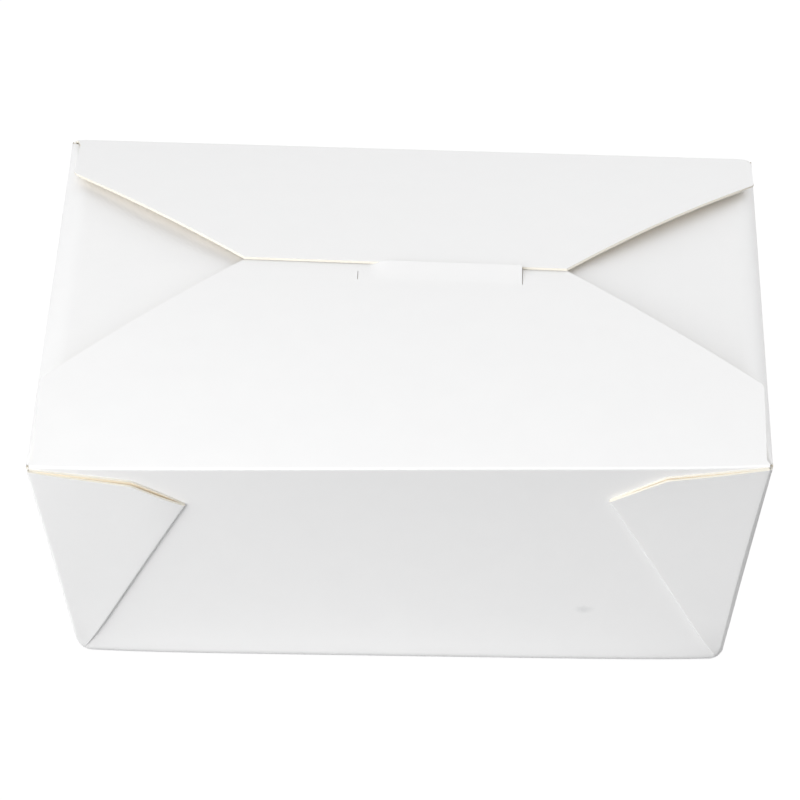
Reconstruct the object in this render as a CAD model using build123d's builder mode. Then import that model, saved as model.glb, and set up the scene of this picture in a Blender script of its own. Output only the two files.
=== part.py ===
from build123d import *
from math import atan2, cos, degrees, radians, sin, sqrt, tan
import os

# A takeout box folded from one sheet of paperboard, closed, in millimetres.
# The base lies on Z = 0 and its centre is the origin. X runs along the length, the front is at -Y.

# Board
board = 0.45

# Body: a tray of four walls that lean outwards from the base to the rim
rim_length = 171
rim_depth = 136
rim_height = 63
base_length = 152
base_depth = 117
base_fold_radius = 3

# Corner webs: the sheet between two walls, folded double and laid on the outside of the long walls
web_tip_rise = 52
web_shoulder_run = 24
web_shoulder_drop = 4.5
web_corner_drop = 1.2
web_gap = 0.75

# Main lid flaps, front and back, which rise in one curve from their creases to the seam
lid_rise = 10
seam_step = 0.6
seam_gap = 0.3
seam_length = 77
flap_inset = 1.5
flap_side = 24
flap_corner_radius = 2.5
crease_clearance = 0.3

# Lock: a tongue between two slits of the front flap lies over a tab of the back flap
tongue_width = 39.2
tongue_offset = 8.3
slit_depth = 6.6
slit_width = 0.3
tab_length = 9
tab_inset = 6.5
lock_clearance = 0.3

# Side flaps, which spring up from their creases until the main flaps hold them down
side_flap_length = 56
side_flap_inset = 1.2
side_flap_taper = 13
side_flap_start = 65
side_flap_bend_radius = 6
side_flap_slope = 6.5
side_flap_drop = 0.6
side_flap_clearance = 0.3
side_flap_corner_radius = 8

# Worked-out sizes of the walls
long_wall_lean = (rim_depth - base_depth) / 2
short_wall_lean = (rim_length - base_length) / 2
long_wall_slant = sqrt(rim_height**2 + long_wall_lean**2)
short_wall_slant = sqrt(rim_height**2 + short_wall_lean**2)

# Worked-out sizes of the lid: both main flaps are arcs with a level end at the seam
half_depth = rim_depth / 2
flap_half_width = rim_length / 2 - flap_inset
front_rise = lid_rise - seam_step
headroom = 4 * lid_rise


def arc_radius(rise):
    return (half_depth**2 + rise**2) / (2 * rise)


def arc_height(rise, y):
    return rim_height + rise - arc_radius(rise) + sqrt(arc_radius(rise) ** 2 - y**2)


# The crease of the front flap, on the middle of the board
hinge_y = -(half_depth - board / 2)
hinge_z = arc_height(front_rise, hinge_y) - board / 2
front_wall_top = hinge_z - board / 2 - crease_clearance
side_crease_z = rim_height - side_flap_drop


def lid_flap(rise):
    """The front main flap, as cut and curved, without its lock."""
    radius = arc_radius(rise)
    with BuildPart() as flap:
        with BuildSketch(Plane.YZ) as section:
            with Locations((0, rim_height + rise - radius)):
                Circle(radius)
                Circle(radius - board, mode=Mode.SUBTRACT)
            with Locations((hinge_y, rim_height - lid_rise)):
                Rectangle(
                    -hinge_y - seam_gap / 2,
                    3 * lid_rise,
                    align=(Align.MIN, Align.MIN),
                    mode=Mode.INTERSECT,
                )
            with Locations((hinge_y, arc_height(rise, hinge_y) - board / 2)):
                Circle(board / 2)
        extrude(amount=flap_half_width, both=True)
        with BuildSketch(Plane.XY) as outline:
            side_end = flap_side - half_depth
            with BuildLine():
                Polyline(
                    (-flap_half_width, -rim_depth),
                    (flap_half_width, -rim_depth),
                    (flap_half_width, side_end),
                    (seam_length / 2, 0),
                    (-seam_length / 2, 0),
                    (-flap_half_width, side_end),
                    close=True,
                )
            make_face()
            fillet(outline.vertices().group_by(Axis.Y)[1], flap_corner_radius)
        extrude(amount=rim_height + headroom, mode=Mode.INTERSECT)
    return flap.part


# The tongue rises from the slits' inner ends until it clears the back flap's edge
tongue_root_y = -seam_gap / 2 - slit_depth
tongue_root_z = arc_height(front_rise, tongue_root_y)
tongue_end_z = rim_height + lid_rise + lock_clearance + board
tongue_slope = degrees(atan2(tongue_end_z - tongue_root_z, slit_depth))
tongue_plane = Plane(
    (tongue_offset, tongue_root_y, tongue_root_z),
    x_dir=(1, 0, 0),
    z_dir=(0, -sin(radians(tongue_slope)), cos(radians(tongue_slope))),
)

with BuildPart() as front_flap:
    add(lid_flap(front_rise))
    with BuildSketch(Plane.XY) as window:
        with Locations((tongue_offset, tongue_root_y)):
            Rectangle(
                tongue_width + 2 * slit_width,
                2 * slit_depth,
                align=(Align.CENTER, Align.MIN),
            )
    extrude(amount=rim_height + headroom, mode=Mode.SUBTRACT)
    with BuildSketch(tongue_plane) as tongue:
        with Locations((0, -board)):
            Rectangle(
                tongue_width,
                slit_depth / cos(radians(tongue_slope)) + board,
                align=(Align.CENTER, Align.MIN),
            )
    extrude(amount=-board)

front_flap.part.label = "front_flap"


# The tab leaves the back flap's edge and dips under the tongue, parallel to it and short of its left end
tab_plane = Plane(
    (tongue_offset + tab_inset / 2, seam_gap / 2, rim_height + lid_rise),
    x_dir=(-1, 0, 0),
    z_dir=(0, -sin(radians(tongue_slope)), cos(radians(tongue_slope))),
)

with BuildPart() as back_flap:
    add(mirror(lid_flap(lid_rise), about=Plane.XZ))
    with BuildSketch(tab_plane) as tab:
        with Locations((0, -board)):
            Rectangle(
                tongue_width - 2 * lock_clearance - tab_inset,
                tab_length + board,
                align=(Align.CENTER, Align.MIN),
            )
    extrude(amount=-board)


def corner_web():
    """The web of the front left corner: two layers, joined at their slanting fold and open at the top."""
    lean_angle = degrees(atan2(short_wall_lean, long_wall_slant))
    blank_angle = 90 - lean_angle - degrees(atan2(long_wall_lean, short_wall_slant))
    fold_angle = blank_angle / 2 - lean_angle
    edge_top = long_wall_slant - web_corner_drop
    wall_plane = Plane(
        (-base_length / 2, -base_depth / 2, 0),
        x_dir=(1, 0, 0),
        z_dir=(0, -rim_height, -long_wall_lean),
    )
    edge = Vector(-sin(radians(lean_angle)), cos(radians(lean_angle)))
    fold = Vector(sin(radians(fold_angle)), cos(radians(fold_angle)))
    edge_end = edge * (edge_top / cos(radians(lean_angle)))
    shoulder = Vector(edge_end.X + web_shoulder_run, long_wall_slant - web_shoulder_drop)
    tip = fold * (web_tip_rise / cos(radians(fold_angle)))
    middle = (edge + fold).normalized()
    apex = middle * (board / sin(radians(blank_angle / 4)))
    start = base_fold_radius
    with BuildPart() as web:
        with BuildSketch(wall_plane) as outline:
            with BuildLine():
                Polyline(edge * start, edge_end, shoulder, tip, fold * start, close=True)
            make_face()
        extrude(amount=2 * board + web_gap)
        extrude(to_extrude=outline.sketch, amount=-board / 2)
        with BuildSketch(wall_plane.offset(board)) as pocket:
            with BuildLine():
                Polyline(apex, apex + edge * rim_depth, apex + fold * rim_depth, close=True)
            make_face()
        extrude(amount=web_gap, mode=Mode.SUBTRACT)
    return web.part


def below_side_bend(drop):
    """The space below the left side flap's bend, seen along the crease; drop goes down into the board."""
    start, level = radians(side_flap_start), radians(side_flap_slope)
    radius = side_flap_bend_radius - drop
    centre = Vector(
        -rim_length / 2 + side_flap_bend_radius * sin(start),
        side_crease_z - side_flap_bend_radius * cos(start),
    )
    first = centre + Vector(-sin(start), cos(start)) * radius
    middle = centre + Vector(-sin((start + level) / 2), cos((start + level) / 2)) * radius
    last = centre + Vector(-sin(level), cos(level)) * radius
    lead = first - Vector(cos(start), sin(start)) * 4 * board
    end = last + Vector(cos(level), sin(level)) * (side_flap_length + drop)
    floor = rim_height / 2 - drop
    with BuildPart() as space:
        with BuildSketch(Plane.XZ):
            with BuildLine():
                Polyline(lead, first)
                ThreePointArc(first, middle, last)
                Polyline(last, end, (end.X, floor), (lead.X, floor), lead)
            make_face()
        extrude(amount=rim_depth + drop, both=True)
    return space.part


def below_lid(drop):
    """The space below the main flaps' undersides, less the side flaps' clearance."""
    radius = arc_radius(front_rise)
    with BuildPart() as space:
        with BuildSketch(Plane.YZ):
            with Locations((0, rim_height + front_rise - radius)):
                Circle(radius - board - side_flap_clearance - drop)
        extrude(amount=rim_length + drop, both=True)
    return space.part


def side_flap():
    """The left side flap: a bend up from its crease, then a slope that the main flaps hold to their curve."""
    crease_half = half_depth - side_flap_inset
    end_half = crease_half - side_flap_length * tan(radians(side_flap_taper))
    crease_x = -rim_length / 2
    with BuildPart() as inside:
        add(below_side_bend(board))
        add(below_lid(board), mode=Mode.INTERSECT)
    with BuildPart() as flap:
        add(below_side_bend(0))
        add(below_lid(0), mode=Mode.INTERSECT)
        with BuildSketch(Plane.XY) as outline:
            with BuildLine():
                Polyline(
                    (crease_x, -crease_half),
                    (crease_x + side_flap_length, -end_half),
                    (crease_x + side_flap_length, end_half),
                    (crease_x, crease_half),
                    close=True,
                )
            make_face()
            fillet(outline.vertices().group_by(Axis.X)[-1], side_flap_corner_radius)
        extrude(amount=rim_height + headroom, mode=Mode.INTERSECT)
        add(inside.part, mode=Mode.SUBTRACT)
    return flap.part


def tray_block(inset):
    """The tapered block within the walls, with each face moved in from the outside by the inset."""
    with BuildPart() as block:
        for level in (inset, rim_height):
            long_half = base_length / 2 + (short_wall_lean * level - inset * short_wall_slant) / rim_height
            short_half = base_depth / 2 + (long_wall_lean * level - inset * long_wall_slant) / rim_height
            with BuildSketch(Plane.XY.offset(level)):
                Rectangle(2 * long_half, 2 * short_half)
        loft(ruled=True)
        fillet(block.faces().sort_by(Axis.Z)[0].edges(), base_fold_radius - inset)
    return block.part


with BuildPart() as carton:
    add(tray_block(0))
    add(tray_block(board), mode=Mode.SUBTRACT)
    # The front wall ends below its crease, and the side walls below theirs
    with BuildSketch(Plane.XY.offset(front_wall_top)) as front_trim:
        with Locations((0, -half_depth)):
            Rectangle(2 * rim_length, 4 * board)
    extrude(amount=headroom, mode=Mode.SUBTRACT)
    with BuildSketch(Plane.XY.offset(side_crease_z - board / 2)) as side_trim:
        with Locations((-rim_length / 2, 0), (rim_length / 2, 0)):
            Rectangle(4 * board, 2 * rim_depth)
    extrude(amount=headroom, mode=Mode.SUBTRACT)
    left_flap = side_flap()
    add(left_flap)
    add(mirror(left_flap, about=Plane.YZ))
    front_left_web = corner_web()
    front_right_web = mirror(front_left_web, about=Plane.YZ)
    for web in (front_left_web, front_right_web):
        add(web)
        add(mirror(web, about=Plane.XZ))
    add(back_flap.part)

carton.part.label = "carton"

os.makedirs("parts", exist_ok=True)
export_step(carton.part, "parts/carton.step")
export_step(front_flap.part, "parts/front_flap.step")
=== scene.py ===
import math

import bpy
import numpy as np
from mathutils import Matrix, Vector


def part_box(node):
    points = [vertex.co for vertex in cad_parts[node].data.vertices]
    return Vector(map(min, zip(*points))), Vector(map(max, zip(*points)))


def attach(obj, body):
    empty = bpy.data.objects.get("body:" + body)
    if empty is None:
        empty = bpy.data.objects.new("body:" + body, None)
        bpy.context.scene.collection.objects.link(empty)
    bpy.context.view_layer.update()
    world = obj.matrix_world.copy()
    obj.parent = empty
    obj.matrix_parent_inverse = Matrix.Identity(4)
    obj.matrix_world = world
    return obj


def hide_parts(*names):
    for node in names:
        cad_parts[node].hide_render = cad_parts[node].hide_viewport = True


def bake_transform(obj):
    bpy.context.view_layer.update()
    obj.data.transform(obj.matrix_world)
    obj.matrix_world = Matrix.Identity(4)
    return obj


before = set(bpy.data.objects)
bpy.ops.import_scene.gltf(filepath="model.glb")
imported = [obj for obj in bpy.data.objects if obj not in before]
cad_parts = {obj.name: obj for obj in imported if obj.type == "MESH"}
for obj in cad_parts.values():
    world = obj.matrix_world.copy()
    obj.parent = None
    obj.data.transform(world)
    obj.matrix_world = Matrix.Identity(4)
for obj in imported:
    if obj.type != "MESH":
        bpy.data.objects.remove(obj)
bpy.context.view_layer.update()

MM = 0.001
FRONT, BACK, LEFT, RIGHT = -1, 1, -1, 1

# The board's finishes, in the order in which each piece holds them
COATED, INNER, CUT = 0, 1, 2

# Sizes of the box as cut and folded true, in millimetres: the same values as in the part's source
BOARD = 0.45
RIM_HALF_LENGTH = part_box("carton")[1][0] / MM
RIM_HALF_DEPTH = 68
RIM_HEIGHT = 63
BASE_HALF_LENGTH = 76
BASE_HALF_DEPTH = 58.5
BASE_FOLD_RADIUS = 3
LONG_LEAN = (RIM_HALF_DEPTH - BASE_HALF_DEPTH) / RIM_HEIGHT
SHORT_LEAN = (RIM_HALF_LENGTH - BASE_HALF_LENGTH) / RIM_HEIGHT

LID_RISE = 10
SEAM_STEP = 0.6
SEAM_EDGE = 0.15
SEAM_HALF_LENGTH = 38.5
FLAP_HALF_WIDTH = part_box("front_flap")[1][0] / MM
FLAP_CORNER_RADIUS = 2.5

TONGUE_HALF_WIDTH = 19.6
TONGUE_OFFSET = 8.3
TONGUE_LEFT = TONGUE_OFFSET - TONGUE_HALF_WIDTH
TONGUE_RIGHT = TONGUE_OFFSET + TONGUE_HALF_WIDTH
SLIT_DEPTH = 6.6
TAB_LENGTH = 9
TAB_INSET = 6.5
TAB_CLEARANCE = 0.3

SIDE_FLAP_LENGTH = 56
SIDE_FLAP_HALF_CREASE = 66.8
SIDE_FLAP_TAPER = math.radians(13)
SIDE_FLAP_START = math.radians(65)
SIDE_FLAP_DROP = 0.6
SIDE_FLAP_CORNER = 8

WEB_SHOULDER_RUN = 24

# How this one box departs from that: first its rim, walls and creases
RIM_TWIST = 1.66
RIM_BOW = 0.45
RIM_SAG = 0.5
LONG_WALL_BOW = -0.8
SHORT_WALL_BOW = 0.6
BASE_PUFF = 1.1
BASE_PUFF_HEIGHT = 8
CREASE_RADIUS = 0.75
LID_CREASE_RADIUS = 0.6
BASE_CORNER_RADIUS = 2.2
RIM_CORNER_RADIUS = 0.4

# Its main flaps, with the length of each of their short sides
SEAM_SHIFT = 0.87
SEAM_SKEW = -0.0418
BACK_FLAP_ASIDE = 1.0
BACK_END_ROUNDING = 1.8
BACK_END_DROP = 0.6
FLAP_SIDES = {(FRONT, LEFT): 26, (FRONT, RIGHT): 24.8, (BACK, LEFT): 24, (BACK, RIGHT): 21.5}

# Its lock: the tongue lifts towards the right, and the tab dips under it
SLIT_WIDTH = 0.12
TONGUE_LIFT = 1.15
TONGUE_LIFT_START = 2.5
TONGUE_LIFT_RUN = 5
TONGUE_LIFT_CURVE = 1.2
TAB_SLOPE = 0.19

# Its side flaps
SIDE_FLAP_BEND_RADIUS = {LEFT: 8, RIGHT: 7.2}
SIDE_FLAP_SLOPE = {LEFT: math.radians(5.2), RIGHT: math.radians(6.4)}
SIDE_FLAP_CLEARANCE = 0.2

# Its webs: the cuts are how far they drop at the corner and at the shoulder, and how high the tip rises
WEB_CUTS = {
    (FRONT, LEFT): (0.9, 5.0, 51.8),
    (FRONT, RIGHT): (0.4, 3.4, 53.4),
    (BACK, LEFT): (1.2, 4.5, 52),
    (BACK, RIGHT): (1.2, 4.5, 52),
}
WEB_SHOULDER_SHARE = 0.62
WEB_FOLD_GAP = 0.1
WEB_FOLD_TRIM = math.radians(1)
WEB_INNER_STEP = {LEFT: 1.0, RIGHT: 0.6}
WEB_INNER_SPRING = 0.15
WEB_EDGE_RADIUS = 0.5
WEB_EDGE_TAPER = 12
WEB_FACET_TURN = math.radians(30)
WEB_SIDE_DROP = 0.02
WEB_SIDE_WIDTH = 2
WEB_SIDE_TUCK = 3

# The webs' lower ends, where they flatten and ease into the walls
WEB_APEX_ROUNDING = 14
WEB_APEX_SINK = 1.3
WEB_END_STAND = 2.5
WEB_END_RISE = 12
WEB_END_SINK = 0.15
WEB_FULL_BODY = 0.2
WEB_LEAST_BODY = 0.02

# The tray's walls end at this height, the flaps' creases carry on from it, and caps close the corners
WALL_END = 60.4
CORNER_DROP = 0.75
CAP_REACH = 2.6
CAP_DIP = 0.4
CAP_MARGIN = 0.2
CAP_CORNER_RADIUS = 0.1
CAP_CORNER_SHRINK = 0.6

# How far a cut edge slants, so that its core shows, and how far from the middle it does so
FLAP_CUT_SLANT = (0.3, 43)
WEB_CUT_SLANT = (0.1, 80)
SLANT_LOWEST_SHARE = 0.7

# Steps of the meshes
CORNER_STEPS = 6
LONG_SIDE_STEPS = 56
SHORT_SIDE_STEPS = 44
BASE_RING_SHARES = (0, 0.3, 0.6, 0.85)
BASE_RING_RADIUS = 0.01
BASE_FOLD_STEPS = 8
WALL_ROWS = 26
CREASE_LEAD_STEPS = 3
CREASE_STEPS = 10
PANEL_ROWS = 40
LOCK_ROWS = 9
OPEN_SLIT_ROWS = 4
TONGUE_COLUMNS = 30
TAB_ROWS = 8
SIDE_FLAP_ROWS = 60
WELD_REACH = 0.002
SHARP_ANGLE = math.radians(35)


# Bent sheets

def warped(points):
    """Points in millimetres, with the walls and the front rim bowed and the rim twisted."""
    x, y, z = np.moveaxis(np.asarray(points, float), -1, 0)
    level = np.clip(z / RIM_HEIGHT, 0, 1)
    across = x / (BASE_HALF_LENGTH + SHORT_LEAN * z)
    along = y / (BASE_HALF_DEPTH + LONG_LEAN * z)
    swell = np.sin(math.pi * level)
    bowed_x = x + SHORT_WALL_BOW * across * (1 - along**2) * swell
    bowed_y = y + LONG_WALL_BOW * along * (1 - across**2) * swell
    bowed_y += BASE_PUFF * along * (1 - across**6) * np.exp(-np.maximum(z, 0) / BASE_PUFF_HEIGHT)
    front_edge = (1 - across**8) * (np.clip(-along, 0, 1) * level) ** 6
    twist = RIM_TWIST * (x / RIM_HALF_LENGTH) * (y / RIM_HALF_DEPTH) * level
    return np.stack([bowed_x, bowed_y - RIM_BOW * front_edge, z - twist - RIM_SAG * front_edge], -1)


def corner_radius(height):
    """How round the walls' meeting edges are at a height."""
    level = np.clip(height / RIM_HEIGHT, 0, 1)
    return BASE_CORNER_RADIUS + (RIM_CORNER_RADIUS - BASE_CORNER_RADIUS) * level


def walk(start, heading, moves):
    """A line of runs and bends: each move is its length, the angle it turns through and its steps."""
    points = [np.array(start, float)]
    for length, turn, steps in moves:
        for _ in range(steps):
            heading += turn / steps / 2
            step = length / steps
            points.append(points[-1] + step * np.array([math.cos(heading), math.sin(heading)]))
            heading += turn / steps / 2
    return np.array(points)


def slant_cuts(solid, slant, limit):
    """Slant the cut edges above the walls and within a limit from the middle, so that their core shows.

    The inner face stands out past the coated one, or stays short of it where it faces outwards.
    """
    facing = {}
    outward = {}
    for face in solid.polygons:
        if face.material_index == COATED:
            continue
        totals = facing if face.material_index == INNER else outward
        for index in face.vertices:
            totals[index] = totals.get(index, Vector()) + face.normal
    for index in set(facing).intersection(outward):
        corner = solid.vertices[index]
        if corner.co.z > SLANT_LOWEST_SHARE * RIM_HEIGHT * MM and abs(corner.co.y) < limit * MM:
            hidden = facing[index].normalized().y * corner.co.y > 0.5 * abs(corner.co.y)
            corner.co += outward[index].normalized() * (-slant if hidden else slant) * MM


def board_piece(name, grid, keep=None, closed=False, flip=False, slant=None, crease_highlights=None, body=None):
    """A piece of board from a grid of points on its coated face, with its inner face and cut edges.

    The crease share gives for each point how much painted highlight it carries along a crease's bend, where
    the coating is also a little whitened by scoring, and body gives for each row its share of the board's
    thickness.
    """
    grid = warped(grid) * MM
    rows, columns = grid.shape[:2]
    faces = []
    for row in range(rows - 1):
        for column in range(columns if closed else columns - 1):
            if keep is not None and not keep(row, column):
                continue
            after = (column + 1) % columns
            corners = [(row, column), (row, after), (row + 1, after), (row + 1, column)]
            face = [r * columns + c for r, c in corners]
            faces.append(face[::-1] if flip else face)
    mesh = bpy.data.meshes.new(name)
    mesh.from_pydata(grid.reshape(-1, 3).tolist(), [], faces)
    mesh.validate()
    # Painted highlight: the crease share lightens the coating along a crease's bend, partly for whitening
    # where it was scored and partly for the light that the bend catches
    if crease_highlights is not None:
        crease_highlight = mesh.attributes.new("crease", "FLOAT", "POINT")
        crease_highlight.data.foreach_set("value", np.asarray(crease_highlights, np.float32).ravel())
    piece = bpy.data.objects.new(name, mesh)
    bpy.context.scene.collection.objects.link(piece)
    for material in board_finish:
        mesh.materials.append(material)
    weld = piece.modifiers.new("weld", "WELD")
    weld.merge_threshold = WELD_REACH * MM
    thickness = piece.modifiers.new("board", "SOLIDIFY")
    thickness.thickness = BOARD * MM
    thickness.offset = -1
    thickness.use_quality_normals = True
    thickness.material_offset = INNER
    thickness.material_offset_rim = CUT
    if body is not None:
        group = piece.vertex_groups.new(name="body")
        for row, share in enumerate(body):
            group.add(range(row * columns, (row + 1) * columns), float(share), "REPLACE")
        thickness.vertex_group = group.name
    solid = bpy.data.meshes.new_from_object(piece.evaluated_get(bpy.context.evaluated_depsgraph_get()))
    piece.modifiers.clear()
    piece.vertex_groups.clear()
    piece.data = solid
    piece.data.name = name
    if slant:
        slant_cuts(solid, *slant)
    solid.shade_smooth()
    solid.set_sharp_from_angle(angle=SHARP_ANGLE)
    return piece


# Finishes

class Value:
    """A shader socket: arithmetic on it adds Math nodes."""

    def __init__(self, paint, socket):
        self.paint = paint
        self.socket = socket

    def math(self, operation, *values):
        return self.paint.node("Math", {"operation": operation}, dict(enumerate(values)))

    def __add__(self, other):
        return self.math("ADD", self, other)

    __radd__ = __add__

    def __sub__(self, other):
        return self.math("SUBTRACT", self, other)

    def __rsub__(self, other):
        return self.math("SUBTRACT", other, self)

    def __mul__(self, other):
        return self.math("MULTIPLY", self, other)

    __rmul__ = __mul__

    def __truediv__(self, other):
        return self.math("DIVIDE", self, other)

    def clamped(self):
        return self.math("MINIMUM", self.math("MAXIMUM", self, 0.0), 1.0)


class Paint:
    """A material or a world under way: node adds each of its nodes and gives the wanted output as a Value."""

    def __init__(self, name, kind=None):
        self.material = (bpy.data.materials if kind is None else kind).new(name)
        self.material.use_nodes = True
        self.tree = self.material.node_tree
        self.tree.nodes.clear()

    def node(self, kind, settings=None, sockets=None, output=0):
        made = self.tree.nodes.new("ShaderNode" + kind)
        for key, value in (settings or {}).items():
            setattr(made, key, value)
        for key, value in (sockets or {}).items():
            if isinstance(value, Value):
                self.tree.links.new(value.socket, made.inputs[key])
            else:
                made.inputs[key].default_value = value
        return Value(self, made.outputs[output]) if made.outputs else None

    def place(self):
        return self.node("TexCoord", output="Object")

    def noise(self, place, size, detail=3.0, roughness=0.55):
        sockets = {"Vector": place, "Scale": 1 / (size * MM), "Detail": detail, "Roughness": roughness}
        return self.node("TexNoise", sockets=sockets)

    def mixed(self, factor, first, second):
        sockets = {0: factor, 6: first, 7: second}
        return self.node("Mix", {"data_type": "RGBA"}, sockets, output=2)

    def stretched(self, place, scale):
        return self.node("VectorMath", {"operation": "MULTIPLY"}, {0: place, 1: scale})

    def length(self, vector):
        return self.node("VectorMath", {"operation": "LENGTH"}, {0: vector}, "Value")

    def bumped(self, height, depth, strength):
        return self.node("Bump", sockets={"Height": height, "Distance": depth * MM, "Strength": strength})

    def finished(self, sockets):
        shader = self.node("BsdfPrincipled", sockets=sockets)
        self.node("OutputMaterial", sockets={"Surface": shader})
        return self.material


SMUDGE_PLACE = (43.2, -61.1, 17.0)
SMUDGE_HALF_SIZE = (2.6, 3.0, 1.4)


def coated_face():
    """White clay-coated board: even and soft, with faint mottle, fine fibres, one small grey smudge and a
    painted highlight along the creases' bends, partly coating whitened by scoring.
    """
    paint = Paint("coated_face")
    place = paint.place()
    mottle = paint.noise(place, size=9.0)
    fibres = paint.noise(paint.stretched(place, (1.0, 0.35, 1.0)), size=0.35, detail=4.0)
    grain = paint.noise(place, size=0.9, detail=2.0)
    white = paint.mixed(mottle, (0.866, 0.866, 0.868, 1), (0.892, 0.892, 0.892, 1))
    centre = tuple(-value * MM for value in SMUDGE_PLACE)
    spread = tuple(1 / (value * MM) for value in SMUDGE_HALF_SIZE)
    offset = paint.node("VectorMath", {"operation": "ADD"}, {0: place, 1: centre})
    reach = paint.length(paint.stretched(offset, spread))
    ragged = reach + 0.9 * (grain - 0.5)
    smudge = (1.0 - ragged).clamped() * 0.3
    colour = paint.mixed(smudge, white, (0.48, 0.49, 0.5, 1))
    # Painted highlight along the creases' bends, partly the coating's whitening where it was scored
    crease_highlight = paint.node("Attribute", {"attribute_name": "crease"}, output="Fac")
    colour = paint.mixed(crease_highlight, colour, (0.94, 0.94, 0.935, 1))
    height = fibres * 0.6 + grain * 0.4
    return paint.finished({
        "Base Color": colour,
        "Roughness": 0.46 + 0.12 * mottle,
        "Specular IOR Level": 0.35,
        "Normal": paint.bumped(height, depth=0.02, strength=0.25),
    })


def inner_face():
    """The uncoated inside of the board, warmer and with a coarser nap."""
    paint = Paint("inner_face")
    place = paint.place()
    cloud = paint.noise(place, size=6.0)
    along = paint.stretched(place, (0.4, 1.0, 1.0))
    fibres = paint.noise(along, size=0.5, detail=5.0, roughness=0.65)
    cream = paint.mixed(cloud, (0.87, 0.76, 0.58, 1), (0.92, 0.83, 0.68, 1))
    colour = paint.mixed((fibres - 0.35).clamped() * 0.35, cream, (0.75, 0.61, 0.43, 1))
    return paint.finished({
        "Base Color": colour,
        "Roughness": 0.72 + 0.15 * fibres,
        "Specular IOR Level": 0.25,
        "Normal": paint.bumped(fibres, depth=0.03, strength=0.35),
    })


def cut_edge():
    """The cream core of the board where a die has cut it."""
    paint = Paint("cut_edge")
    place = paint.place()
    plies = paint.noise(paint.stretched(place, (0.5, 0.5, 2.0)), size=0.25)
    colour = paint.mixed(plies, (0.78, 0.745, 0.655, 1), (0.84, 0.81, 0.73, 1))
    return paint.finished({
        "Base Color": colour,
        "Roughness": 0.8 + 0.1 * plies,
        "Specular IOR Level": 0.2,
        "Normal": paint.bumped(plies, depth=0.03, strength=0.3),
    })


board_finish = [coated_face(), inner_face(), cut_edge()]


# The tray: base, base folds and walls in rings from the middle of the base up to the rim

def ring(half_length, half_depth, radius, height):
    """A rectangle with rounded corners at one height, with the same count of points for every size."""
    corners = [(RIGHT, BACK), (LEFT, BACK), (LEFT, FRONT), (RIGHT, FRONT)]
    centres = [((half_length - radius) * x, (half_depth - radius) * y) for x, y in corners]

    def on_arc(centre, angle):
        return (centre[0] + radius * math.cos(angle), centre[1] + radius * math.sin(angle), height)

    points = []
    for quarter, centre in enumerate(centres):
        turn = quarter * math.pi / 2
        for step in range(CORNER_STEPS + 1):
            points.append(on_arc(centre, turn + step / CORNER_STEPS * math.pi / 2))
        start = np.array(points[-1])
        end = np.array(on_arc(centres[(quarter + 1) % len(centres)], turn + math.pi / 2))
        count = SHORT_SIDE_STEPS if quarter % 2 else LONG_SIDE_STEPS
        points += [tuple(start + (end - start) * step / count) for step in range(1, count)]
    return points


def tray():
    """The base, the four walls and small caps at the rim's corners."""
    rings = []
    for share in BASE_RING_SHARES:
        radius = BASE_RING_RADIUS * share
        rings.append(ring(share * BASE_HALF_LENGTH, share * BASE_HALF_DEPTH, radius, 0))
    lean = math.atan(LONG_LEAN)
    bend = math.pi / 2 - lean
    reach = BASE_FOLD_RADIUS * math.tan(bend / 2)
    fold = walk((-reach, 0), 0, [(BASE_FOLD_RADIUS * bend, bend, BASE_FOLD_STEPS)])
    for out, up in fold:
        rings.append(ring(BASE_HALF_LENGTH + out, BASE_HALF_DEPTH + out, corner_radius(up), up))
    for height in np.linspace(fold[-1][1], WALL_END, WALL_ROWS)[1:]:
        rings.append(ring(
            BASE_HALF_LENGTH + SHORT_LEAN * height,
            BASE_HALF_DEPTH + LONG_LEAN * height,
            corner_radius(height),
            height,
        ))
    wall_rows = len(rings) - 1
    caps = crease_rows(RIM_HEIGHT - CORNER_DROP, lean, 0, CREASE_RADIUS)[1:]
    for inward, up in caps:
        radius = max(RIM_CORNER_RADIUS - CAP_CORNER_SHRINK * inward, CAP_CORNER_RADIUS)
        rings.append(ring(RIM_HALF_LENGTH - inward, RIM_HALF_DEPTH - inward, radius, up))
    rings.append(ring(
        RIM_HALF_LENGTH - CAP_REACH,
        RIM_HALF_DEPTH - CAP_REACH,
        CAP_CORNER_RADIUS,
        caps[-1][1] - CAP_DIP,
    ))
    grid = np.array(rings)

    def keep(row, column):
        ends = np.abs(grid[row, [column, (column + 1) % grid.shape[1]], :2])
        limit = np.array([RIM_HALF_LENGTH, RIM_HALF_DEPTH]) - CAP_REACH - CAP_MARGIN
        return row < wall_rows or bool((ends > limit).all())

    return board_piece("tray", grid, keep, closed=True)


# The lid

def arc_radius(rise):
    """Radius of the arc of a main flap that rises so far from the rim to the middle."""
    return (RIM_HALF_DEPTH**2 + rise**2) / (2 * rise)


def lid_curve(inward, rise):
    """Height of a main flap's arc at a distance in from the rim."""
    radius = arc_radius(rise)
    return RIM_HEIGHT + rise - radius + np.sqrt(radius**2 - (RIM_HALF_DEPTH - inward) ** 2)


def crease_rows(corner_height, lean, slope, radius):
    """Points up a leaning wall and round its crease to a slope, as distances in from the rim and heights."""
    turn = math.pi / 2 + lean - slope
    heading = math.pi / 2 + lean
    bend = (radius * turn, -turn, CREASE_STEPS)
    start = np.array([(RIM_HEIGHT - WALL_END) * math.tan(lean), WALL_END])
    corner = np.array([(RIM_HEIGHT - corner_height) * math.tan(lean), corner_height])
    left = corner - start - walk((0, 0), heading, [bend])[-1]
    flat = np.array([-math.sin(slope), math.cos(slope)])
    strip = left @ flat / (np.array([math.cos(heading), math.sin(heading)]) @ flat)
    return walk(start, heading, [(strip, 0, CREASE_LEAD_STEPS), bend])


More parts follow.
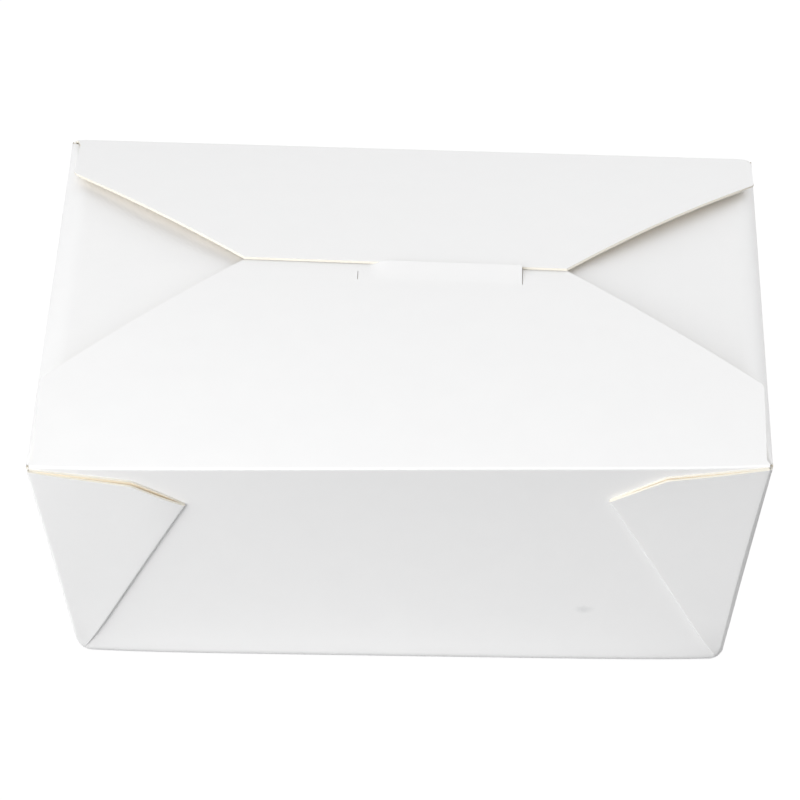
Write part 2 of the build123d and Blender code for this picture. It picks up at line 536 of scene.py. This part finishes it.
def seam_place(x):
    """How far behind the middle the seam lies at a place along it."""
    return SEAM_EDGE + SEAM_SHIFT + SEAM_SKEW * np.clip(x, -SEAM_HALF_LENGTH, SEAM_HALF_LENGTH)


def half_reach(x, side, end):
    """How far in from the rim one half of a main flap reaches at a place along its length."""
    corner_x, corner_in = FLAP_HALF_WIDTH, FLAP_SIDES[side, end]
    seam_end = RIM_HALF_DEPTH - side * seam_place(end * SEAM_HALF_LENGTH)
    steepness = (seam_end - corner_in) / (corner_x - SEAM_HALF_LENGTH)
    bend = math.pi / 2 - math.atan(steepness)
    tangent = FLAP_CORNER_RADIUS * math.tan(bend / 2)
    rounded = corner_x - tangent * math.cos(math.atan(steepness))
    centre_x = corner_x - FLAP_CORNER_RADIUS
    along = np.abs(x)
    at_seam = RIM_HALF_DEPTH - side * seam_place(x)
    straight = np.where(along < SEAM_HALF_LENGTH, at_seam, corner_in + (corner_x - along) * steepness)
    drop = np.sqrt(np.clip(FLAP_CORNER_RADIUS**2 - (along - centre_x) ** 2, 0, None))
    return np.where(along > rounded, corner_in - tangent + drop, straight)


def flap_reach(x, side):
    """How far in from the rim a main flap reaches along its whole length."""
    return np.where(x < 0, half_reach(x, side, LEFT), half_reach(x, side, RIGHT))


def flap_columns(cuts):
    """Places along a main flap's length, closer together at its rounded corners and at the cuts."""
    corner_start = FLAP_HALF_WIDTH - 0.9
    right = np.concatenate([
        np.linspace(0, SEAM_HALF_LENGTH, 24),
        np.linspace(SEAM_HALF_LENGTH, corner_start, 28),
        np.linspace(corner_start, FLAP_HALF_WIDTH, 7),
    ])
    columns = np.concatenate([-right, right, cuts])
    return np.unique(np.round(columns, 6))


# Shares of a main flap's length over which the crease's width fades and the back flap moves aside
CREASE_FADE = 0.03
ASIDE_RUN = 0.2

# The crease's rows from which it carries a painted highlight, partly coating whitened by scoring, and the
# rows over which that fades
CREASE_HIGHLIGHT_START = 6
CREASE_HIGHLIGHT_FADE = 2


def lid_panel(name, side, rise, cuts, keep, lift, tab_rows, slant):
    """A main flap with its crease, at the FRONT or BACK side.

    Cuts are further places for columns, keep says which of its faces stay, lift raises its lock above the
    arc, and each of tab_rows is a length past its edge with a drop.
    """
    columns = flap_columns(cuts)
    slope = 2 * math.atan(rise / RIM_HALF_DEPTH)
    lean = math.atan(LONG_LEAN)
    crease = crease_rows(RIM_HEIGHT, lean, slope, LID_CREASE_RADIUS)
    wall_half = RIM_HALF_LENGTH - RIM_CORNER_RADIUS - SHORT_LEAN * (RIM_HEIGHT - WALL_END)
    sloping_run = FLAP_HALF_WIDTH - SEAM_HALF_LENGTH
    past_seam = np.clip((np.abs(columns) - SEAM_HALF_LENGTH) / sloping_run, 0, 1)
    rows = []
    near_end = np.clip((np.abs(columns) - FLAP_HALF_WIDTH) / BACK_END_ROUNDING + 1, 0, 1)
    end_drop = BACK_END_DROP * near_end**2 * (side == BACK)
    for inward, up in crease:
        level = up - end_drop * (up - WALL_END) / (RIM_HEIGHT - WALL_END)
        rows.append(list(zip(
            columns * wall_half / FLAP_HALF_WIDTH,
            0 * columns + side * (RIM_HALF_DEPTH - inward),
            level,
        )))
    start = crease[-1][0]
    root = 1 - SLIT_DEPTH / (RIM_HALF_DEPTH - start)
    panel_shares = np.linspace(0, root, PANEL_ROWS)[1:]
    lock_shares = np.linspace(root, 1, LOCK_ROWS)[1:]
    for share in [*panel_shares, *lock_shares]:
        inward = start + share * (flap_reach(columns, side) - start)
        by_crease = math.exp(-((share / CREASE_FADE) ** 2))
        up = lid_curve(inward, rise) + lift(columns, (share - root) / (1 - root)) - end_drop * by_crease
        widen = 1 + (wall_half / FLAP_HALF_WIDTH - 1) * by_crease
        aside = BACK_FLAP_ASIDE * past_seam * min(1, share / ASIDE_RUN) if side == BACK else 0
        rows.append(list(zip(columns * widen + aside, side * (RIM_HALF_DEPTH - inward), up)))
    last = np.array(rows[-1])
    for length, drop in tab_rows:
        rows.append(list(zip(last[:, 0], last[:, 1] - side * length, last[:, 2] - drop)))
    first_lock_row = len(crease) + len(panel_shares) - 1
    tab_row = len(rows) - len(tab_rows) - 1

    def kept(row, column):
        middle = (columns[column] + columns[column + 1]) / 2
        return keep(middle, row - first_lock_row, row >= tab_row)

    # Painted highlight along the crease's bend, partly the coating's whitening where it was scored
    places = np.arange(len(rows))
    crease_highlight = np.clip((places - CREASE_HIGHLIGHT_START) / CREASE_HIGHLIGHT_FADE, 0, 1)
    crease_highlight *= np.clip((len(crease) - 1 - places) / CREASE_HIGHLIGHT_FADE, 0, 1)
    crease_highlights = np.repeat(crease_highlight[:, None], len(columns), axis=1)
    return board_piece(name, np.array(rows), kept, flip=side == BACK, slant=slant, crease_highlights=crease_highlights)


def front_flap():
    """The front flap, with the tongue that its two slits leave free to rise over the back flap.

    The left slit's mouth is pressed shut.
    """
    half_slit = SLIT_WIDTH / 2
    cuts = [place + way * half_slit for place in (TONGUE_LEFT, TONGUE_RIGHT) for way in (-1, 1)]
    cuts += list(np.linspace(TONGUE_LEFT + half_slit, TONGUE_RIGHT - half_slit, TONGUE_COLUMNS))

    def keep(middle, lock_row, _):
        if abs(middle - TONGUE_LEFT) < half_slit:
            return not 0 <= lock_row < OPEN_SLIT_ROWS
        return lock_row < 0 or abs(middle - TONGUE_RIGHT) >= half_slit

    def lift(columns, share):
        on_tongue = (columns > TONGUE_LEFT) & (columns < TONGUE_RIGHT)
        along = np.clip((columns - TONGUE_LEFT - TONGUE_LIFT_START) / TONGUE_LIFT_RUN, 0, 1)
        rise = TONGUE_LIFT * along * along * (3 - 2 * along)
        return np.where(on_tongue, rise * max(share, 0) ** TONGUE_LIFT_CURVE, 0)

    return lid_panel("front_flap_board", FRONT, LID_RISE - SEAM_STEP, cuts, keep, lift, [], None)


def back_flap():
    """The back flap, with the tab that dips under the front flap's tongue."""
    inset = SLIT_WIDTH / 2 + TAB_CLEARANCE
    ends = (TONGUE_LEFT + inset + TAB_INSET, TONGUE_RIGHT - inset)

    def keep(middle, _, in_tab):
        return not in_tab or ends[0] < middle < ends[1]

    def lift(columns, _):
        return np.zeros(len(columns))

    tab_rows = [(length, TAB_SLOPE * length) for length in np.linspace(0, TAB_LENGTH, TAB_ROWS)[1:]]
    return lid_panel("back_flap", BACK, LID_RISE, ends, keep, lift, tab_rows, FLAP_CUT_SLANT)


def under_lid(y):
    """Height that a side flap's coated face keeps below the two main flaps."""
    rise = np.where(y < 0, LID_RISE - SEAM_STEP, LID_RISE)
    return lid_curve(RIM_HALF_DEPTH - np.abs(y), rise) - BOARD - SIDE_FLAP_CLEARANCE


def side_flap_rise(run, side):
    """Height of a side flap over the end of its crease: a bend that eases into a slope."""
    radius, slope = SIDE_FLAP_BEND_RADIUS[side], SIDE_FLAP_SLOPE[side]
    bend_run = radius * (math.sin(SIDE_FLAP_START) - math.sin(slope))
    part = np.minimum(run, bend_run)
    sine = math.sin(SIDE_FLAP_START) - part / radius
    bend = radius * (np.sqrt(1 - sine**2) - math.cos(SIDE_FLAP_START))
    return bend + (run - part) * math.tan(slope)


# A side flap's columns are closer together past this share of its half crease, and its rows near the crease
SIDE_FLAP_FINE_SHARE = 0.8
SIDE_FLAP_CROWDING = 1.5

# Its free corners, as multiples of their radius, its least run and how sharply the lid holds it down
SIDE_FLAP_CORNER_RUN = 4
SIDE_FLAP_CORNER_CUT = 0.3
SIDE_FLAP_LEAST_RUN = 0.02
HOLD_SHARPNESS = 3


def side_flap(name, side):
    """A side flap at the LEFT or RIGHT side, sprung up from its crease until the main flaps hold it."""
    columns = np.concatenate([
        np.linspace(-1, -SIDE_FLAP_FINE_SHARE, 12)[:-1],
        np.linspace(-SIDE_FLAP_FINE_SHARE, SIDE_FLAP_FINE_SHARE, 60),
        np.linspace(SIDE_FLAP_FINE_SHARE, 1, 12)[1:],
    ]) * SIDE_FLAP_HALF_CREASE
    lean = math.atan(SHORT_LEAN)
    crease = crease_rows(RIM_HEIGHT - SIDE_FLAP_DROP, lean, SIDE_FLAP_START, CREASE_RADIUS)
    wall_half = RIM_HALF_DEPTH - RIM_CORNER_RADIUS - LONG_LEAN * (RIM_HEIGHT - WALL_END)
    rows = []
    for inward, up in crease:
        y = columns * wall_half / SIDE_FLAP_HALF_CREASE
        rows.append(list(zip(0 * y + side * (RIM_HALF_LENGTH - inward), y, np.minimum(up, under_lid(y)))))
    start_in, start_up = crease[-1]
    taper = (SIDE_FLAP_HALF_CREASE - np.abs(columns)) / math.tan(SIDE_FLAP_TAPER)
    reach = np.minimum(SIDE_FLAP_LENGTH, taper)
    near = np.clip((taper - SIDE_FLAP_LENGTH) / (SIDE_FLAP_CORNER_RUN * SIDE_FLAP_CORNER), 0, 1)
    corner_cut = SIDE_FLAP_CORNER * SIDE_FLAP_CORNER_CUT * (1 - near) ** 3
    reach = reach - corner_cut * (taper >= SIDE_FLAP_LENGTH)
    for share in np.linspace(0, 1, SIDE_FLAP_ROWS)[1:] ** SIDE_FLAP_CROWDING:
        inward = start_in + share * np.maximum(reach - start_in, SIDE_FLAP_LEAST_RUN)
        up = start_up + side_flap_rise(inward - start_in, side)
        held = -np.logaddexp(-HOLD_SHARPNESS * up, -HOLD_SHARPNESS * under_lid(columns)) / HOLD_SHARPNESS
        rows.append(list(zip(side * (RIM_HALF_LENGTH - inward), columns, held)))
    return board_piece(name, np.array(rows), flip=side == LEFT)


# Corner webs

def eased_corner(points, inset):
    """Points of a web, drawn in at its lower end until they follow the tray's rounded corner."""
    height = points[..., 2]
    radius = corner_radius(height)
    centre_x = radius + inset - BASE_HALF_LENGTH - SHORT_LEAN * height
    centre_y = radius + inset - BASE_HALF_DEPTH - LONG_LEAN * height
    out_x = np.minimum(points[..., 0] - centre_x, 0)
    out_y = np.minimum(points[..., 1] - centre_y, 0)
    out = np.maximum(np.hypot(out_x, out_y), 1e-6)
    most = radius + WEB_END_STAND * np.clip((height - 1) / WEB_END_RISE, 0, 1) - WEB_END_SINK
    draw = np.minimum(1, most / out) - 1
    return points + np.stack([out_x * draw, out_y * draw, 0 * draw], -1)


WALL_SLANT = math.hypot(RIM_HEIGHT, LONG_LEAN * RIM_HEIGHT)

# A web's rows, as shares of its height that lie closer together at its lower end
WEB_REACHES = np.concatenate([np.linspace(0.012, 0.15, 14), np.linspace(0.15, 1, 60)[1:]])


def web_outline(x_side, y_side):
    """A web's corner, shoulder and tip in the long wall's plane, and the way past its fold."""
    lean = math.atan2(RIM_HALF_LENGTH - BASE_HALF_LENGTH, WALL_SLANT)
    fold_angle = (math.pi / 2 - 2 * lean) / 2 - lean - WEB_FOLD_TRIM
    edge = np.array([-math.sin(lean), math.cos(lean)])
    fold = np.array([math.sin(fold_angle), math.cos(fold_angle)])
    corner_drop, shoulder_drop, tip_rise = WEB_CUTS[y_side, x_side]
    corner = edge * (WALL_SLANT - corner_drop) / math.cos(lean)
    shoulder = np.array([corner[0] + WEB_SHOULDER_RUN, WALL_SLANT - shoulder_drop])
    tip = fold * tip_rise / math.cos(fold_angle)
    return corner, shoulder, tip, np.array([fold[1], -fold[0]])


def web_row(outline, reach, opening, lag, facet, inner_step):
    """A row of a web at a share of its height, each point with its places along, up and out from the wall."""
    corner, shoulder, tip, past_fold = outline
    flatness = max(0, 1 - reach * WALL_SLANT / WEB_APEX_ROUNDING)
    fullness = 1 - WEB_APEX_SINK * flatness**2
    sunk = -BOARD * (1 - max(fullness, 0))

    def cut_line(share):
        if share < WEB_SHOULDER_SHARE:
            return corner + (shoulder - corner) * share / WEB_SHOULDER_SHARE
        return shoulder + (tip - shoulder) * (share - WEB_SHOULDER_SHARE) / (1 - WEB_SHOULDER_SHARE)

    def spring(share):
        return opening * math.sin(math.pi * share**lag) * reach**10

    def stand_off(share):
        return fullness * (2 * BOARD + WEB_FOLD_GAP * share * reach**0.3 + spring(share))

    radius = min(WEB_EDGE_RADIUS, WEB_EDGE_TAPER * reach)
    flat_width = min(facet * (0.5 + 0.5 * math.sin(math.pi * reach)), WEB_EDGE_TAPER * reach)
    wrap = walk((0, 0), math.pi / 2, [
        (radius * WEB_FACET_TURN, -WEB_FACET_TURN, 4),
        (flat_width, 0, 3),
        (radius * (math.pi / 2 - WEB_FACET_TURN), WEB_FACET_TURN - math.pi / 2, 4),
    ])
    wrap_width, wrap_depth = wrap[-1]
    first = WEB_SHOULDER_SHARE * wrap_width / (WEB_SHOULDER_RUN * reach)
    wrap_start = stand_off(first) - wrap_depth

    # The short wall's side, then round the corner edge
    side_start = min(-corner_radius(reach * RIM_HEIGHT), wrap_start)
    side_edge = corner * reach * (1 - WEB_SIDE_DROP * reach**8)
    row = [(*(side_edge + np.array([BOARD, 0])), side_start - WEB_SIDE_TUCK)]
    for depth in np.linspace(side_start - WEB_SIDE_WIDTH, wrap_start, 4)[:-1]:
        row.append((*side_edge, depth))
    for inward, out in wrap[:-1]:
        place = side_edge + (corner * reach - side_edge) * out / wrap_depth
        row.append((*(place + np.array([inward, 0])), wrap_start + out))

    # The outer layer, the fold and the inner layer
    for share in np.linspace(first, 1, 34):
        row.append((*(cut_line(share) * reach), stand_off(share)))
    thickness = stand_off(1)
    for angle in np.linspace(0, math.pi, 11)[1:]:
        out = past_fold * max(thickness, 0) / 2 * math.sin(angle)
        row.append((*(tip * reach + out), sunk + (thickness - sunk) / 2 * (1 + math.cos(angle))))
    for share in np.linspace(1, first, 24)[1:]:
        step = np.array([0, inner_step * math.sin(math.pi * share) ** 0.6 * reach**4])
        row.append((*(cut_line(share) * reach + step), sunk + WEB_INNER_SPRING * spring(share)))
    return row


def corner_web(name, x_side, y_side, opening, lag, facet):
    """A web, from the short wall round the corner edge, over to its slanting fold and back under itself.

    Opening is how far the outer layer springs away at its cut line, lag moves that towards the fold, and
    facet is the width of the flat that the board leaves along the corner edge.
    """
    outline = web_outline(x_side, y_side)
    inner_step = WEB_INNER_STEP[x_side]
    flat = np.array([web_row(outline, reach, opening, lag, facet, inner_step) for reach in WEB_REACHES])
    along = np.array([1, 0, 0])
    up = np.array([0, -LONG_LEAN, 1]) / math.hypot(1, LONG_LEAN)
    outward = np.array([0, -1, -LONG_LEAN]) / math.hypot(1, LONG_LEAN)
    base_corner = np.array([-BASE_HALF_LENGTH, -BASE_HALF_DEPTH, 0])
    points = base_corner + flat[..., :1] * along + flat[..., 1:2] * up + flat[..., 2:] * outward
    below = np.clip(1 - points[..., 2] / BASE_FOLD_RADIUS, 0, 1)
    inset = BASE_FOLD_RADIUS * (1 - np.sqrt(1 - below**2))
    points[..., 0] += inset
    points[..., 1] += inset
    points = eased_corner(points, inset) * np.array([-x_side, -y_side, 1])
    body = np.clip(WEB_REACHES / WEB_FULL_BODY, WEB_LEAST_BODY, 1) ** 2
    return board_piece(name, points, flip=x_side != y_side, slant=WEB_CUT_SLANT, body=body)


# The pieces, and the body that those of the carton move with

tray_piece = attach(tray(), "carton")
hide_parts("carton")
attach(back_flap(), "carton")
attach(side_flap("side_flap_left", LEFT), "carton")
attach(side_flap("side_flap_right", RIGHT), "carton")
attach(corner_web("web_front_left", LEFT, FRONT, opening=0.45, lag=3, facet=0.8), "carton")
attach(corner_web("web_front_right", RIGHT, FRONT, opening=0.1, lag=2, facet=1.9), "carton")
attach(corner_web("web_back_left", LEFT, BACK, opening=0.6, lag=2, facet=1.0), "carton")
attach(corner_web("web_back_right", RIGHT, BACK, opening=0.5, lag=2, facet=1.0), "carton")

front_piece = front_flap()
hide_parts("front_flap")
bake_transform(front_piece)


# Stage, light and camera

FLOOR_HALF_SIZE = 3.0
FLOOR_GAP = 0.02

# The floor that the camera sees: how much of it glows, and how brightly
FLOOR_GLOW_SHARE = 0.88
FLOOR_GLOW = 1.06

# The light that the floor gives back to the box, far from it and near it, and how far the nearer one reaches
FLOOR_FAR = (0.13, 0.13, 0.13, 1)
FLOOR_NEAR = (0.27, 0.27, 0.27, 1)
FLOOR_NEAR_REACH = 1.7


def floor():
    """A wide floor that gives little light back, shows white to the camera and keeps the box's shadow."""
    half = FLOOR_HALF_SIZE
    corners = [(-half, -half, 0), (half, -half, 0), (half, half, 0), (-half, half, 0)]
    mesh = bpy.data.meshes.new("floor")
    mesh.from_pydata(corners, [], [(0, 1, 2, 3)])
    plane = bpy.data.objects.new("floor", mesh)
    plane.location.z = -FLOOR_GAP * MM
    bpy.context.scene.collection.objects.link(plane)
    paint = Paint("white_floor")
    grain = paint.noise(paint.place(), size=40.0)
    pale = paint.mixed(grain, (0.90, 0.90, 0.90, 1), (0.92, 0.92, 0.92, 1))
    matt = paint.node("BsdfDiffuse", sockets={"Color": pale})
    white = paint.node("Emission", sockets={"Color": (1, 1, 1, 1), "Strength": FLOOR_GLOW})
    shown = paint.node("MixShader", sockets={0: FLOOR_GLOW_SHARE, 1: matt, 2: white})
    half_rims = (1 / (RIM_HALF_LENGTH * MM), 1 / (RIM_HALF_DEPTH * MM), 0)
    away = paint.length(paint.stretched(paint.place(), half_rims))
    near = ((FLOOR_NEAR_REACH - away) / (FLOOR_NEAR_REACH - 1)).clamped()
    dim = paint.node("BsdfDiffuse", sockets={"Color": paint.mixed(near, FLOOR_FAR, FLOOR_NEAR)})
    shader = paint.node("MixShader", sockets={0: seen(paint), 1: dim, 2: shown})
    paint.node("OutputMaterial", sockets={"Surface": shader})
    mesh.materials.append(paint.material)


def seen(paint):
    """Where the camera sees a surface, directly, mirrored or through another one."""
    kinds = ("Is Camera Ray", "Is Glossy Ray", "Is Transmission Ray")
    camera_ray, glossy, through = (paint.node("LightPath", output=kind) for kind in kinds)
    return (camera_ray + glossy + through).clamped()


def sky(strength, turn, behind):
    """A surround lit from one side and, at a share of that, from behind, plain white to the camera."""
    paint = Paint("surround", bpy.data.worlds)
    bpy.context.scene.world = paint.material
    way = paint.node("TexCoord", output="Generated")
    turn = math.radians(turn)
    towards = (math.sin(turn), -math.cos(turn), 0)
    reach = paint.node("VectorMath", {"operation": "DOT_PRODUCT"}, {0: way, 1: towards}, "Value")
    share = reach.clamped() + behind * (reach * -1.0).clamped()
    dark = paint.node("Background", sockets={"Color": (0, 0, 0, 1)})
    bright = paint.node("Background", sockets={"Color": (1, 1, 1, 1), "Strength": strength})
    lit = paint.node("MixShader", sockets={0: share, 1: dark, 2: bright})
    plain = paint.node("Background", sockets={"Color": (1, 1, 1, 1)})
    camera_ray = paint.node("LightPath", output="Is Camera Ray")
    shader = paint.node("MixShader", sockets={0: camera_ray, 1: lit, 2: plain})
    paint.node("OutputWorld", sockets={"Surface": shader})


def lamp(name, place, aim, size, power):
    """A square soft box, with its place, its aim and its size in metres and its power in watts."""
    light = bpy.data.lights.new(name, "AREA")
    light.shape = "SQUARE"
    light.size = size
    light.energy = power
    holder = bpy.data.objects.new(name, light)
    holder.location = place
    holder.rotation_euler = (Vector(aim) - Vector(place)).to_track_quat("-Z", "Y").to_euler()
    bpy.context.scene.collection.objects.link(holder)


BOX_MIDDLE = (0, 0, 0.04)


def soft_box_place(turn, elevation, distance):
    """A place round the box: turn is from the front towards the right, both angles in degrees."""
    turn, elevation = math.radians(turn), math.radians(elevation)
    level = distance * math.cos(elevation)
    height = BOX_MIDDLE[2] + distance * math.sin(elevation)
    return (level * math.sin(turn), -level * math.cos(turn), height)


CAMERA_ELEVATION = math.radians(35.17)
CAMERA_TURN = math.radians(-1.41)
CAMERA_DISTANCE = 1175.8
CAMERA_ASIDE = -1.33
CAMERA_ABOVE = 27.47
SENSOR_WIDTH = 36
LENS = 213.7


def camera():
    """A long lens in front of the box and above it, turned a little to one side."""
    right = Vector((1, 0, 0))
    ahead = Vector((0, math.cos(CAMERA_ELEVATION), -math.sin(CAMERA_ELEVATION)))
    above = right.cross(ahead)
    place = right * CAMERA_ASIDE + above * CAMERA_ABOVE - ahead * CAMERA_DISTANCE
    turn = Matrix.Rotation(-CAMERA_TURN, 3, "Z")
    data = bpy.data.cameras.new("camera")
    data.sensor_width = SENSOR_WIDTH
    data.lens = LENS
    data.clip_start = 0.01
    holder = bpy.data.objects.new("camera", data)
    axes = Matrix((right, above, -ahead)).transposed()
    holder.matrix_world = Matrix.Translation(turn @ place * MM) @ (turn @ axes).to_4x4()
    bpy.context.scene.collection.objects.link(holder)
    bpy.context.scene.camera = holder


floor()
sky(strength=2.35, turn=-40, behind=0.9)
left_place = soft_box_place(turn=-42, elevation=12, distance=0.7)
lamp("left_soft_box", left_place, BOX_MIDDLE, size=0.3, power=1.4)
camera()
bpy.context.scene.view_settings.view_transform = "Standard"
